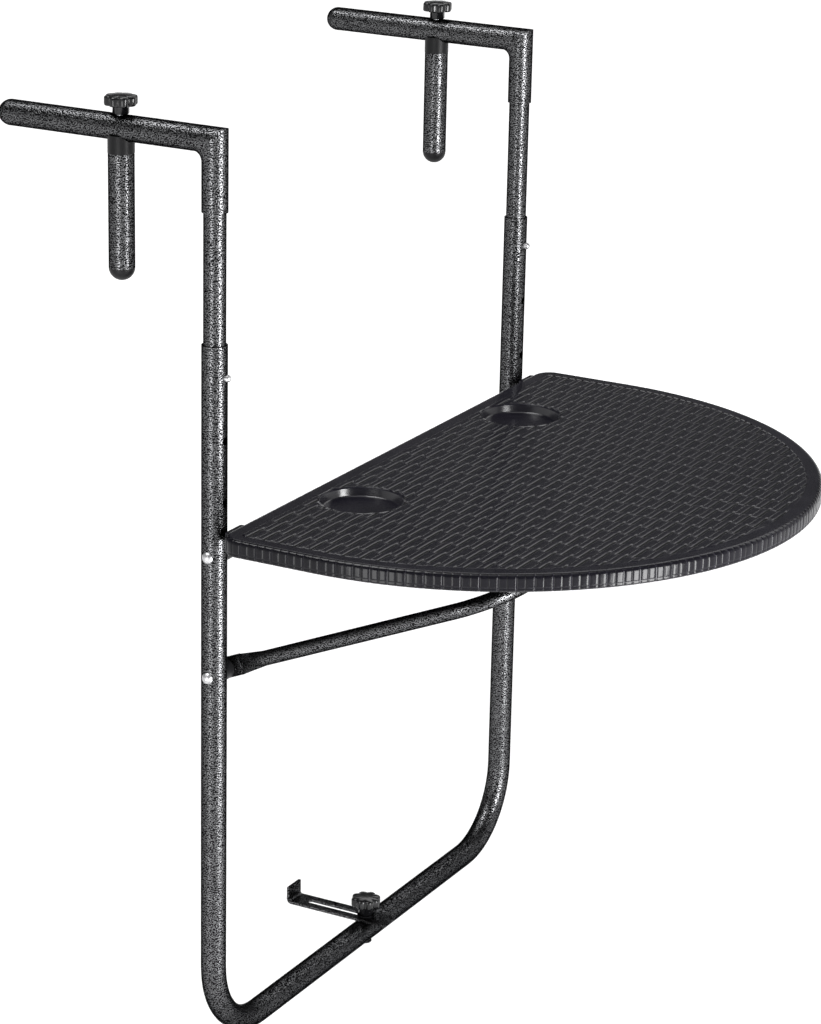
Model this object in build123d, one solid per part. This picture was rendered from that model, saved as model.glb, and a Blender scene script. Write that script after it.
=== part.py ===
from build123d import *

import math
import os

# Hanging balcony table: two tube hooks sit over a railing, a tube frame hangs from
# them, and a half-round moulded top folds down on rivets and is propped by a brace.
# Millimetres. +Z is up, +X points from the railing to the user, Y runs along the railing.
# The origin lies midway between the hooks, on the undersides of their arms (Z = 0) and
# in the plane of the uprights' rear faces (X = 0), so it is the railing's inner top edge.

# Tube stock
UPRIGHT_OD = 22.0
UPRIGHT_WALL = 1.2
EXTENSION_WALL = 1.2
BRACE_OD = 13.0
BRACE_WALL = 1.2

# Fits
SOCKET_FIT = 0.05
TELESCOPE_FIT = 0.3
PIVOT_FIT = 0.08
RIVET_HOLE_FIT = 0.05
PLUG_FIT = 0.1
FREE_FIT = 0.3
FACE_GAP = 0.2
OVERLAP = 0.5
CUT_PAST = 1.0

# Main sizes, heights measured down from the rail seat
TABLE_WIDTH = 600.0
TOP_DROP = 314.0
BAR_DROP = 795.0
BUTTON_DROP = 186.0

# Frame
UPRIGHT_INSET = 28.0
UPRIGHT_SPACING = TABLE_WIDTH - 2 * UPRIGHT_INSET
BEND_RADIUS = 75.0
RIM_ABOVE_BUTTON = 27.0
RIM_DROP = BUTTON_DROP - RIM_ABOVE_BUTTON

# Height adjustment
EXTENSION_OD = UPRIGHT_OD - 2 * (UPRIGHT_WALL + TELESCOPE_FIT)
HOLE_PITCH = 54.0
HOLE_COUNT = 3
BUTTON_DIA = 6.2
BUTTON_PROUD = 4.5
BUTTON_HOLE_DIA = 7.2
CLIP_THICK = 0.8
CLIP_WIDTH = 8.0
CLIP_LEG = 36.0
CLIP_ABOVE_BUTTON = 6.0
CLIP_BEND = 2.5

# Hooks
ARM_REACH = 198.0
SOCKET_DROP = 48.0
CORNER_WELD_RADIUS = 7.0
WELD_STEP = 0.01
EXTENSION_BELOW_BUTTON = 37.0
PLUG_DEPTH = 14.0

# Clamp pegs
PEG_X = -79.0
PEG_DROP = 106.0
SADDLE_DROP = 10.0
SADDLE_HORN = 5.0
SADDLE_PROUD = 0.25
SPIGOT_DEPTH = 25.0
STUD_DIA = 8.0
STUD_DROP = 38.0
NUT_FLATS = 13.0
NUT_HEIGHT = 6.5

# Hand knobs
KNOB_DIA = 28.0
KNOB_LOBES = 8
KNOB_LOBE_RADIUS = 3.6
KNOB_ROOT = 0.55
KNOB_HEAD = 9.0
KNOB_CROWN = 1.2
KNOB_NECK_DIA = 14.0
CLAMP_NECK = 7.0
BRACKET_NECK = 9.0
STUD_IN_KNOB = 11.0

# Table top
TOP_THICK = 15.0
TABLE_SIDE = 90.0
TABLE_REAR_X = 31.0
CORNER_RADIUS = 18.0
EDGE_TOP_RADIUS = 4.0
EDGE_UNDER_RADIUS = 2.0
BORDER_WIDTH = 14.0
FIELD_DEPTH = 0.8
EAR_DEPTH = 4.0
EAR_LENGTH = 26.0
EAR_DROP = 2.0
CUP_DIA = 72.0
CUP_DEPTH = 7.0
CUP_FROM_EDGE = 52.0
CUP_SPACING = 300.0
SKIN = 5.0
RIM_WALL = 6.0
RIB_PITCH = 60.0
RIB_WIDTH = 3.0
PAD_MARGIN = 6.0
SMALLEST_POCKET = 150.0

# Table hinge
HINGE_BELOW_TOP = 27.0
HINGE_DROP = TOP_DROP + HINGE_BELOW_TOP
RIVET_DIA = 6.0
RIVET_HEAD_DIA = 10.0
RIVET_HEAD_HEIGHT = 3.2
PLATE_THICK = 3.0
EAR_RADIUS = 8.5
EAR_REACH = 52.0
FLANGE_WIDTH = 38.0
FLANGE_SETBACK = 5.0
FLANGE_LENGTH = 62.0
SCREW_DIA = 4.5
SCREW_HEAD_DIA = 8.5
SCREW_HEAD_HEIGHT = 2.4
SCREW_DEPTH = 8.0
SCREW_FROM_REAR = 17.0
SCREW_FROM_EDGE = 9.0
SCREW_FROM_EAR = 12.0

# Brace
BRACE_BELOW_HINGE = 107.4
BRACE_DROP = HINGE_DROP + BRACE_BELOW_HINGE
BRACE_INSET = 20.0
BRACE_PLANE = UPRIGHT_SPACING / 2 - BRACE_INSET
BRACE_REACH = 258.0
BRACE_BEND = 45.0
PADDLE_THICK = 3.2
PADDLE_RADIUS = 9.0
PADDLE_LENGTH = 17.0
TAPER_LENGTH = 24.0
SPACER_DIA = 18.0
BAR_SEAT_GAP = 3.0
CATCH_FIT = 0.5
CATCH_LENGTH = 28.0
CATCH_WIDTH = 26.0
CATCH_FOOT = 11.0
CATCH_DEPTH = 12.5
CATCH_SPACING = 300.0
CATCH_EXIT_SLOPE = 23.0
CATCH_EXIT_RUN = 40.0

# Lower bracket
STRIP_WIDTH = 22.0
STRIP_THICK = 2.5
STRIP_REAR = -69.0
STRIP_FRONT = 37.0
LIP_HEIGHT = 14.0
LIP_BEND = 2.0
SLOT_WIDTH = 7.0
SLOT_REAR = -52.0
SLOT_FRONT = 20.0
BOLT_DIA = 6.0
BOLT_HEAD_DIA = 12.0
BOLT_HEAD_HEIGHT = 2.2
WASHER_DIA = 16.0
WASHER_THICK = 1.5
INSERT_DIA = 9.0
INSERT_LENGTH = 8.0
INSERT_RELIEF = 2.0

# Places that follow from the sizes above
UPRIGHT_R = UPRIGHT_OD / 2
UPRIGHT_BORE = UPRIGHT_R - UPRIGHT_WALL
UPRIGHT_X = UPRIGHT_R
UPRIGHT_Y = UPRIGHT_SPACING / 2
EXTENSION_R = EXTENSION_OD / 2
EXTENSION_BORE = EXTENSION_R - EXTENSION_WALL
BRACE_R = BRACE_OD / 2
ARM_Z = UPRIGHT_R
RIM_Z = -RIM_DROP
BAR_Z = -BAR_DROP
BUTTON_Z = -BUTTON_DROP
HINGE_Z = -HINGE_DROP
PIVOT_Z = -BRACE_DROP
TOP_Z = -TOP_DROP
UNDER_Z = TOP_Z - TOP_THICK
PLATE_OUTER = BRACE_PLANE + PADDLE_THICK / 2
RIVET_R = RIVET_DIA / 2
STUD_R = STUD_DIA / 2
BOLT_R = BOLT_DIA / 2
SIDES = {"left": -1, "right": 1}


def rod(start, end, radius):
    """A round bar between two points."""
    run = Vector(*end) - Vector(*start)
    place = Plane(origin=start, z_dir=run.normalized())
    bar = Cylinder(radius, run.length, align=(Align.CENTER, Align.CENTER, Align.MIN))
    return place.location * bar


def dome(radius, plug_radius):
    """A moulded end plug: a half-round head on Z = 0 with a plug below it."""
    head = Sphere(radius) & Pos(0, 0, radius) * Box(2 * radius, 2 * radius, 2 * radius)
    return head + rod((0, 0, -PLUG_DEPTH), (0, 0, OVERLAP), plug_radius)


def knob(neck_height, bore_radius, bore_depth):
    """A lobed hand knob: neck on Z = 0, lobed head above it, blind bore from below."""
    lobe_ring = KNOB_DIA / 2 - KNOB_LOBE_RADIUS
    outline = Circle(lobe_ring + KNOB_ROOT * KNOB_LOBE_RADIUS)
    for index in range(KNOB_LOBES):
        turn = Rot(0, 0, index * 360 / KNOB_LOBES)
        outline += turn * Pos(lobe_ring, 0) * Circle(KNOB_LOBE_RADIUS)
    head = Pos(0, 0, neck_height) * extrude(outline, KNOB_HEAD)
    top = neck_height + KNOB_HEAD
    crown_radius = ((KNOB_DIA / 2) ** 2 + KNOB_CROWN ** 2) / (2 * KNOB_CROWN)
    head &= Pos(0, 0, top - crown_radius) * Sphere(crown_radius)
    neck = rod((0, 0, 0), (0, 0, neck_height + OVERLAP), KNOB_NECK_DIA / 2)
    return head + neck - rod((0, 0, -CUT_PAST), (0, 0, bore_depth), bore_radius)


def rivet(side, drop_z):
    """A dome-headed rivet across one upright, with its second head inside the joint."""
    outer = UPRIGHT_Y + UPRIGHT_R
    inner = BRACE_PLANE - PADDLE_THICK / 2 - FACE_GAP
    shank = rod((UPRIGHT_X, side * inner, drop_z), (UPRIGHT_X, side * outer, drop_z), RIVET_R)
    head_radius = RIVET_HEAD_DIA / 2
    ball = (head_radius ** 2 + RIVET_HEAD_HEIGHT ** 2) / (2 * RIVET_HEAD_HEIGHT)
    cap = Pos(0, 0, RIVET_HEAD_HEIGHT - ball) * Sphere(ball)
    cap &= Pos(0, 0, ball) * Box(4 * ball, 4 * ball, 2 * ball)
    outward = Plane(origin=(UPRIGHT_X, side * outer, drop_z), z_dir=(0, side, 0))
    inward = Plane(origin=(UPRIGHT_X, side * inner, drop_z), z_dir=(0, -side, 0))
    return shank + outward.location * cap + inward.location * cap


def spacer(side, drop_z):
    """A moulded washer that fills the gap between a round upright and a flat pivot."""
    face = PLATE_OUTER + FACE_GAP
    bush = rod((UPRIGHT_X, side * face, drop_z), (UPRIGHT_X, side * UPRIGHT_Y, drop_z), SPACER_DIA / 2)
    span = 2 * SPACER_DIA
    upright = rod((UPRIGHT_X, side * UPRIGHT_Y, drop_z - span), (UPRIGHT_X, side * UPRIGHT_Y, drop_z + span),
                  UPRIGHT_R + RIVET_HOLE_FIT)
    hole = rod((UPRIGHT_X, side * (face - CUT_PAST), drop_z), (UPRIGHT_X, side * UPRIGHT_Y, drop_z),
               RIVET_R + RIVET_HOLE_FIT)
    return bush - upright - hole


def u_frame():
    """One tube bent to a U, with button holes, rivet holes and the bracket bolt's hole."""
    corners = [(UPRIGHT_X, -UPRIGHT_Y, RIM_Z), (UPRIGHT_X, -UPRIGHT_Y, BAR_Z),
               (UPRIGHT_X, UPRIGHT_Y, BAR_Z), (UPRIGHT_X, UPRIGHT_Y, RIM_Z)]
    path = FilletPolyline(*corners, radius=BEND_RADIUS)
    ring = Circle(UPRIGHT_R) - Circle(UPRIGHT_BORE)
    tube = sweep(Plane(origin=path @ 0, z_dir=path % 0) * ring, path=path)
    for side in SIDES.values():
        y = side * UPRIGHT_Y
        for index in range(HOLE_COUNT):
            z = BUTTON_Z - index * HOLE_PITCH
            tube -= rod((UPRIGHT_X, y, z), (UPRIGHT_X + UPRIGHT_OD, y, z), BUTTON_HOLE_DIA / 2)
        for z in (HINGE_Z, PIVOT_Z):
            near, far = (UPRIGHT_X, y - UPRIGHT_OD, z), (UPRIGHT_X, y + UPRIGHT_OD, z)
            tube -= rod(near, far, RIVET_R + RIVET_HOLE_FIT)
    below = (UPRIGHT_X, 0, BAR_Z - UPRIGHT_OD)
    above = (UPRIGHT_X, 0, BAR_Z + UPRIGHT_OD)
    return tube - rod(below, above, BOLT_R + RIVET_HOLE_FIT)


def hook_halves(side):
    """Arm and socket of one hook: two tubes mitred together, with a rounded weld inside."""
    y = side * UPRIGHT_Y
    past = UPRIGHT_OD
    arm_end = UPRIGHT_R - ARM_REACH
    arm_bar = rod((arm_end, y, ARM_Z), (UPRIGHT_X + past, y, ARM_Z), UPRIGHT_R)
    socket_bar = rod((UPRIGHT_X, y, -SOCKET_DROP), (UPRIGHT_X, y, ARM_Z + past), UPRIGHT_R)
    weld = Torus(CORNER_WELD_RADIUS + UPRIGHT_R, UPRIGHT_R - WELD_STEP, major_angle=90, align=Align.NONE)
    weld = Pos(-CORNER_WELD_RADIUS, y, -CORNER_WELD_RADIUS) * Rot(90, 0, 0) * weld
    mitre = Plane(origin=(UPRIGHT_X, y, ARM_Z), z_dir=(1, 0, -1))
    arm = split(arm_bar, bisect_by=mitre, keep=Keep.BOTTOM)
    arm += split(weld, bisect_by=mitre, keep=Keep.BOTTOM)
    socket = split(socket_bar, bisect_by=mitre, keep=Keep.TOP)
    socket += split(weld, bisect_by=mitre, keep=Keep.TOP)
    arm -= rod((arm_end - CUT_PAST, y, ARM_Z), (UPRIGHT_X + past, y, ARM_Z), UPRIGHT_BORE)
    arm -= rod((PEG_X, y, -UPRIGHT_OD), (PEG_X, y, 2 * UPRIGHT_OD), STUD_R + FREE_FIT)
    mouth = (UPRIGHT_X, y, -SOCKET_DROP - CUT_PAST)
    socket -= rod(mouth, (UPRIGHT_X, y, ARM_Z + past), EXTENSION_R + SOCKET_FIT)
    return arm, socket


def arm_end_cap(side):
    """Plug in the free end of one arm."""
    seat = Plane(origin=(UPRIGHT_R - ARM_REACH, side * UPRIGHT_Y, ARM_Z), z_dir=(-1, 0, 0))
    return seat.location * dome(UPRIGHT_R, UPRIGHT_BORE - PLUG_FIT)


def extension_tube(side):
    """Inner tube: fixed in the hook's socket, it telescopes in the upright."""
    y = side * UPRIGHT_Y
    low = BUTTON_Z - EXTENSION_BELOW_BUTTON
    high = ARM_Z - UPRIGHT_R
    tube = rod((UPRIGHT_X, y, low), (UPRIGHT_X, y, high), EXTENSION_R)
    tube -= rod((UPRIGHT_X, y, low - CUT_PAST), (UPRIGHT_X, y, high + CUT_PAST), EXTENSION_BORE)
    hole = rod((UPRIGHT_X, y, BUTTON_Z), (UPRIGHT_X + UPRIGHT_OD, y, BUTTON_Z), BUTTON_DIA / 2 + FREE_FIT)
    return tube - hole


def snap_clip(side):
    """A V-shaped spring leaf with a button riveted on it, sprung inside the inner tube."""
    y = side * UPRIGHT_Y
    half = CLIP_WIDTH / 2
    wall = math.sqrt((EXTENSION_BORE - PLUG_FIT) ** 2 - half ** 2) - CLIP_THICK / 2
    top = BUTTON_Z + CLIP_ABOVE_BUTTON
    bottom = BUTTON_Z - CLIP_LEG
    leaf_line = FilletPolyline((wall, top), (wall, bottom), (-wall, top), radius=CLIP_BEND)
    leaf = extrude(trace(leaf_line, CLIP_THICK), half, both=True)
    leaf = Plane(origin=(UPRIGHT_X, y, 0), x_dir=(1, 0, 0), z_dir=(0, -1, 0)).location * leaf
    radius = BUTTON_DIA / 2
    nose = UPRIGHT_X + UPRIGHT_R + BUTTON_PROUD - radius
    pin = rod((UPRIGHT_X + wall, y, BUTTON_Z), (nose, y, BUTTON_Z), radius)
    return leaf + pin + Pos(nose, y, BUTTON_Z) * Sphere(radius)


def peg_tube(side):
    """Drop tube that hangs behind the railing."""
    y = side * UPRIGHT_Y
    tube = rod((PEG_X, y, -PEG_DROP), (PEG_X, y, -SADDLE_DROP), UPRIGHT_R)
    return tube - rod((PEG_X, y, -PEG_DROP - CUT_PAST), (PEG_X, y, 0), UPRIGHT_BORE)


def peg_saddle(side):
    """Moulded saddle: hollowed to the arm above, plugged into the peg tube below."""
    y = side * UPRIGHT_Y
    collar = rod((PEG_X, y, -SADDLE_DROP), (PEG_X, y, SADDLE_HORN), UPRIGHT_R + SADDLE_PROUD)
    low = -SADDLE_DROP - SPIGOT_DEPTH
    body = collar + rod((PEG_X, y, low), (PEG_X, y, -SADDLE_DROP + OVERLAP), UPRIGHT_BORE - PLUG_FIT)
    body -= rod((PEG_X - UPRIGHT_OD, y, ARM_Z), (PEG_X + UPRIGHT_OD, y, ARM_Z), UPRIGHT_R + FACE_GAP)
    body -= rod((PEG_X, y, low - CUT_PAST), (PEG_X, y, ARM_Z), STUD_R + FREE_FIT)
    pocket = RegularPolygon((NUT_FLATS + FACE_GAP) / 2, 6, major_radius=False)
    return body - Pos(PEG_X, y, low) * extrude(pocket, NUT_HEIGHT)


def peg_nut(side):
    """Hex nut pressed into the saddle's lower end."""
    low = -SADDLE_DROP - SPIGOT_DEPTH
    blank = extrude(RegularPolygon(NUT_FLATS / 2, 6, major_radius=False), NUT_HEIGHT)
    blank -= rod((0, 0, -CUT_PAST), (0, 0, NUT_HEIGHT + CUT_PAST), STUD_R + PIVOT_FIT)
    return Pos(PEG_X, side * UPRIGHT_Y, low) * blank


def peg_end_cap(side):
    """Plug in the lower end of a peg."""
    seat = Plane(origin=(PEG_X, side * UPRIGHT_Y, -PEG_DROP), z_dir=(0, 0, -1))
    return seat.location * dome(UPRIGHT_R, UPRIGHT_BORE - PLUG_FIT)


def clamp_knob(side):
    """Hand knob on top of the arm."""
    seat = Pos(PEG_X, side * UPRIGHT_Y, UPRIGHT_OD + FREE_FIT)
    return seat * knob(CLAMP_NECK, STUD_R, STUD_IN_KNOB)


def clamp_stud(side):
    """Threaded stud moulded into the knob, through the arm, into the peg's nut."""
    y = side * UPRIGHT_Y
    return rod((PEG_X, y, -STUD_DROP), (PEG_X, y, UPRIGHT_OD + FREE_FIT + STUD_IN_KNOB), STUD_R)


def table_plan(inset):
    """The top's half-round outline, drawn in by an inset."""
    half = TABLE_WIDTH / 2
    centre = TABLE_REAR_X + TABLE_SIDE
    straight = Pos(TABLE_REAR_X + TABLE_SIDE / 2, 0) * Rectangle(TABLE_SIDE, TABLE_WIDTH)
    front = Pos(centre, 0) * Circle(half)
    front &= Pos(centre + half / 2, 0) * Rectangle(half, TABLE_WIDTH)
    plan = straight + front
    plan = fillet(plan.vertices().group_by(Axis.X)[0], CORNER_RADIUS)
    if inset:
        plan = offset(plan, -inset, kind=Kind.ARC)
    return plan


def screw_places(side):
    """Where the screws of one hinge plate stand."""
    rear = TABLE_REAR_X - FLANGE_SETBACK
    near = rear + SCREW_FROM_REAR
    far = rear + FLANGE_LENGTH - SCREW_FROM_EDGE
    inner = side * (PLATE_OUTER - FLANGE_WIDTH + SCREW_FROM_EDGE)
    outer = side * (PLATE_OUTER - PLATE_THICK - SCREW_FROM_EAR)
    return [(near, inner), (far, inner), (far, outer)]


def bar_place():
    """The brace's cross bar, seen from the side: its distance out and its height."""
    return UPRIGHT_X + BRACE_REACH, UNDER_Z - BAR_SEAT_GAP - BRACE_R


def catch_screw_places():
    """Where the screws of the two catches stand."""
    behind = bar_place()[0] - (CATCH_LENGTH + CATCH_FOOT) / 2
    return [(behind, side * CATCH_SPACING / 2 + along)
            for side in SIDES.values() for along in (-CATCH_WIDTH / 3, CATCH_WIDTH / 3)]


def table_pads():
    """Solid pads under the top: where plates and catches screw on, and below the cups."""
    pads = Sketch()
    plate_x = TABLE_REAR_X + FLANGE_LENGTH / 2
    plate_y = PLATE_OUTER - FLANGE_WIDTH / 2
    catch_x = bar_place()[0] - CATCH_FOOT / 2
    catch_run = CATCH_LENGTH + CATCH_FOOT + 2 * PAD_MARGIN
    for side in SIDES.values():
        pads += Pos(plate_x, side * plate_y) * Rectangle(FLANGE_LENGTH, FLANGE_WIDTH + 2 * PAD_MARGIN)
        pads += Pos(catch_x, side * CATCH_SPACING / 2) * Rectangle(catch_run, CATCH_WIDTH + 2 * PAD_MARGIN)
        pads += Pos(TABLE_REAR_X + CUP_FROM_EDGE, side * CUP_SPACING / 2) * Circle(CUP_DIA / 2 + SKIN)
    return pads


def table_pockets():
    """The hollow cells between the ribs of the top's underside."""
    cells = table_plan(RIM_WALL) - table_pads()
    reach = TABLE_SIDE + TABLE_WIDTH / 2
    for index in range(1, int(reach / RIB_PITCH) + 1):
        x = TABLE_REAR_X + index * RIB_PITCH
        cells -= Pos(x, 0) * Rectangle(RIB_WIDTH, TABLE_WIDTH)
    count = int(TABLE_WIDTH / RIB_PITCH / 2)
    for index in range(-count, count + 1):
        cells -= Pos(TABLE_REAR_X + reach / 2, index * RIB_PITCH) * Rectangle(reach, RIB_WIDTH)
    return [face for face in cells.faces() if face.area > SMALLEST_POCKET]


def table_top():
    """Moulded half-round top: bordered field, two cup recesses, ribbed underside."""
    slab = Pos(0, 0, UNDER_Z) * extrude(table_plan(0), TOP_THICK)
    slab = fillet(slab.edges().group_by(Axis.Z)[-1], EDGE_TOP_RADIUS)
    slab = fillet(slab.edges().group_by(Axis.Z)[0], EDGE_UNDER_RADIUS)
    ear_height = TOP_THICK - EDGE_UNDER_RADIUS - EAR_DROP
    ear_y = TABLE_WIDTH / 2 - CORNER_RADIUS - EAR_LENGTH / 2
    ear_run = EAR_DEPTH + EDGE_TOP_RADIUS
    for side in SIDES.values():
        ear = Box(ear_run, EAR_LENGTH, ear_height, align=(Align.MIN, Align.CENTER, Align.MIN))
        ear = fillet(ear.edges().filter_by(Axis.Z).group_by(Axis.X)[0], EAR_DEPTH / 2)
        slab += Pos(TABLE_REAR_X - EAR_DEPTH, side * ear_y, UNDER_Z + EDGE_UNDER_RADIUS) * ear
    slab -= Pos(0, 0, TOP_Z - FIELD_DEPTH) * extrude(table_plan(BORDER_WIDTH), TOP_THICK)
    for side in SIDES.values():
        cup = (TABLE_REAR_X + CUP_FROM_EDGE, side * CUP_SPACING / 2)
        slab -= rod((*cup, TOP_Z - FIELD_DEPTH - CUP_DEPTH), (*cup, TOP_Z + CUT_PAST), CUP_DIA / 2)
    for face in table_pockets():
        slab -= Pos(0, 0, UNDER_Z) * extrude(face, TOP_THICK - SKIN, dir=(0, 0, 1))
    for place in screw_places(-1) + screw_places(1) + catch_screw_places():
        slab -= rod((*place, UNDER_Z - CUT_PAST), (*place, UNDER_Z + SCREW_DEPTH), SCREW_DIA / 2)
    return slab


def hinge_plate(side):
    """Bent steel plate: a flange screwed under the top and an ear on the hinge rivet."""
    rear = TABLE_REAR_X - FLANGE_SETBACK
    flange_y = side * (PLATE_OUTER - FLANGE_WIDTH / 2)
    flange = Pos(rear + FLANGE_LENGTH / 2, flange_y, UNDER_Z - PLATE_THICK / 2)
    plate = flange * Box(FLANGE_LENGTH, FLANGE_WIDTH, PLATE_THICK)
    ear_end = UPRIGHT_X + EAR_REACH
    profile = make_face(Polyline((UPRIGHT_X, HINGE_Z - EAR_RADIUS), (ear_end, UNDER_Z - PLATE_THICK),
                                 (ear_end, UNDER_Z), (rear, UNDER_Z),
                                 (UPRIGHT_X, HINGE_Z + EAR_RADIUS), close=True))
    profile += Pos(UPRIGHT_X, HINGE_Z) * Circle(EAR_RADIUS)
    profile -= Pos(UPRIGHT_X, HINGE_Z) * Circle(RIVET_R + PIVOT_FIT)
    upright_plane = Plane(origin=(0, 0, 0), x_dir=(1, 0, 0), z_dir=(0, -1, 0))
    ear = upright_plane.location * extrude(profile, PLATE_THICK)
    ear_shift = PLATE_OUTER if side > 0 else PLATE_THICK - PLATE_OUTER
    plate += Pos(0, ear_shift, 0) * ear
    for place in screw_places(side):
        below = (*place, UNDER_Z - 2 * PLATE_THICK)
        plate -= rod(below, (*place, UNDER_Z + CUT_PAST), SCREW_DIA / 2 + PLUG_FIT)
    return plate


def screws(places, seat_z):
    """Pan-head screws driven up into the top, one solid each."""
    made = []
    for x, y in places:
        shank = rod((x, y, seat_z), (x, y, UNDER_Z + SCREW_DEPTH), SCREW_DIA / 2)
        head = rod((x, y, seat_z - SCREW_HEAD_HEIGHT), (x, y, seat_z), SCREW_HEAD_DIA / 2)
        rim = head.edges().group_by(Axis.Z)[0]
        made.append(shank + fillet(rim, SCREW_HEAD_HEIGHT / 2))
    return Compound(children=made)


def bar_catch(side):
    """Moulded cradle under the top that seats the brace's cross bar and opens forward."""
    bar_x, bar_z = bar_place()
    top = UNDER_Z - bar_z
    foot = Pos(-(CATCH_LENGTH + CATCH_FOOT) / 2, top - BAR_SEAT_GAP / 2)
    foot *= Rectangle(CATCH_FOOT, BAR_SEAT_GAP)
    block = Pos(0, top - CATCH_DEPTH / 2) * Rectangle(CATCH_LENGTH, CATCH_DEPTH)
    seat = Circle(BRACE_R + CATCH_FIT)
    way_out = Rot(0, 0, -CATCH_EXIT_SLOPE) * Pos(CATCH_EXIT_RUN / 2, 0)
    way_out *= Rectangle(CATCH_EXIT_RUN, 2 * (BRACE_R + CATCH_FIT))
    below = Pos(CATCH_LENGTH / 2, -CATCH_DEPTH) * Rectangle(CATCH_LENGTH, 2 * CATCH_DEPTH)
    profile = block + foot - seat - way_out - below
    solid = extrude(profile, CATCH_WIDTH / 2, both=True)
    place = Plane(origin=(bar_x, side * CATCH_SPACING / 2, bar_z), x_dir=(1, 0, 0), z_dir=(0, -1, 0))
    solid = place.location * solid
    for x, y in catch_screw_places():
        solid -= rod((x, y, UNDER_Z - CATCH_DEPTH), (x, y, UNDER_Z + CUT_PAST), SCREW_DIA / 2 + PLUG_FIT)
    return solid


def brace():
    """U-shaped prop tube with flattened ends, drawn flat and then tilted up to the top."""
    bar_x, bar_z = bar_place()
    rise = bar_z - PIVOT_Z
    length = math.hypot(BRACE_REACH, rise)
    tilt = math.degrees(math.atan2(rise, BRACE_REACH))
    start = PADDLE_LENGTH + TAPER_LENGTH
    corners = [(start, -BRACE_PLANE, 0), (length, -BRACE_PLANE, 0),
               (length, BRACE_PLANE, 0), (start, BRACE_PLANE, 0)]
    path = FilletPolyline(*corners, radius=BRACE_BEND)
    ring = Circle(BRACE_R) - Circle(BRACE_R - BRACE_WALL)
    tube = sweep(Plane(origin=path @ 0, z_dir=path % 0) * ring, path=path)
    for side in SIDES.values():
        y = side * BRACE_PLANE
        round_end = Plane(origin=(start, y, 0), x_dir=(0, 1, 0), z_dir=(1, 0, 0)) * Circle(BRACE_R)
        flat_end = Plane(origin=(PADDLE_LENGTH, y, 0), x_dir=(0, 1, 0), z_dir=(1, 0, 0))
        flat_end *= Ellipse(PADDLE_THICK / 2, PADDLE_RADIUS)
        tube += loft([flat_end, round_end])
        paddle = Pos(PADDLE_LENGTH / 2, 0) * Rectangle(PADDLE_LENGTH, 2 * PADDLE_RADIUS)
        paddle += Circle(PADDLE_RADIUS)
        paddle -= Circle(RIVET_R + PIVOT_FIT)
        flat = extrude(paddle, PADDLE_THICK / 2, both=True)
        tube += Plane(origin=(0, y, 0), x_dir=(1, 0, 0), z_dir=(0, -1, 0)).location * flat
    return Pos(UPRIGHT_X, 0, PIVOT_Z) * Rot(0, -tilt, 0) * tube


def standoff_bracket():
    """Slotted strip on the bottom bar, with its end turned up to hook behind the railing."""
    low = BAR_Z + UPRIGHT_R + FREE_FIT
    middle = low + STRIP_THICK / 2
    half = STRIP_THICK / 2
    line = FilletPolyline((STRIP_REAR + half, low + STRIP_THICK + LIP_HEIGHT), (STRIP_REAR + half, middle),
                          (STRIP_FRONT, middle), radius=LIP_BEND + half)
    strip = extrude(trace(line, STRIP_THICK), STRIP_WIDTH / 2, both=True)
    strip = Plane(origin=(0, 0, 0), x_dir=(1, 0, 0), z_dir=(0, -1, 0)).location * strip
    slot = SlotOverall(SLOT_FRONT - SLOT_REAR, SLOT_WIDTH)
    slot = extrude(slot, STRIP_THICK + 2 * CUT_PAST)
    return strip - Pos((SLOT_FRONT + SLOT_REAR) / 2, 0, low - CUT_PAST) * slot


def strip_top():
    """Height of the strip's upper face."""
    return BAR_Z + UPRIGHT_R + FREE_FIT + STRIP_THICK


def bracket_bolt():
    """Round-head bolt up through the bottom bar and the strip's slot."""
    head_top = BAR_Z - UPRIGHT_R
    tip = strip_top() + FACE_GAP + WASHER_THICK + FACE_GAP + INSERT_LENGTH
    shank = rod((UPRIGHT_X, 0, head_top), (UPRIGHT_X, 0, tip), BOLT_R)
    head = rod((UPRIGHT_X, 0, head_top - BOLT_HEAD_HEIGHT), (UPRIGHT_X, 0, head_top), BOLT_HEAD_DIA / 2)
    return shank + fillet(head.edges().group_by(Axis.Z)[0], BOLT_HEAD_HEIGHT / 2)


def bracket_washer():
    """Flat washer between knob and strip."""
    low = strip_top() + FACE_GAP
    ring = rod((UPRIGHT_X, 0, low), (UPRIGHT_X, 0, low + WASHER_THICK), WASHER_DIA / 2)
    past = (UPRIGHT_X, 0, low + 2 * WASHER_THICK)
    return ring - rod((UPRIGHT_X, 0, low - CUT_PAST), past, BOLT_R + FACE_GAP)


def knob_seat():
    """Height of the bracket knob's lower face."""
    return strip_top() + FACE_GAP + WASHER_THICK


def bracket_knob():
    """Hand knob that clamps the strip, hollow for its threaded insert."""
    made = knob(BRACKET_NECK, INSERT_DIA / 2, INSERT_LENGTH + INSERT_RELIEF)
    return Pos(UPRIGHT_X, 0, knob_seat()) * made


def knob_insert():
    """Threaded insert pressed into the bracket knob."""
    low = knob_seat()
    sleeve = rod((UPRIGHT_X, 0, low), (UPRIGHT_X, 0, low + INSERT_LENGTH), INSERT_DIA / 2)
    past = (UPRIGHT_X, 0, low + 2 * INSERT_LENGTH)
    return sleeve - rod((UPRIGHT_X, 0, low - CUT_PAST), past, BOLT_R + PIVOT_FIT)


def both_sides(maker, *args):
    """The same small piece on both uprights, as one group of two solids."""
    return Compound(children=[maker(side, *args) for side in SIDES.values()])


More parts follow.
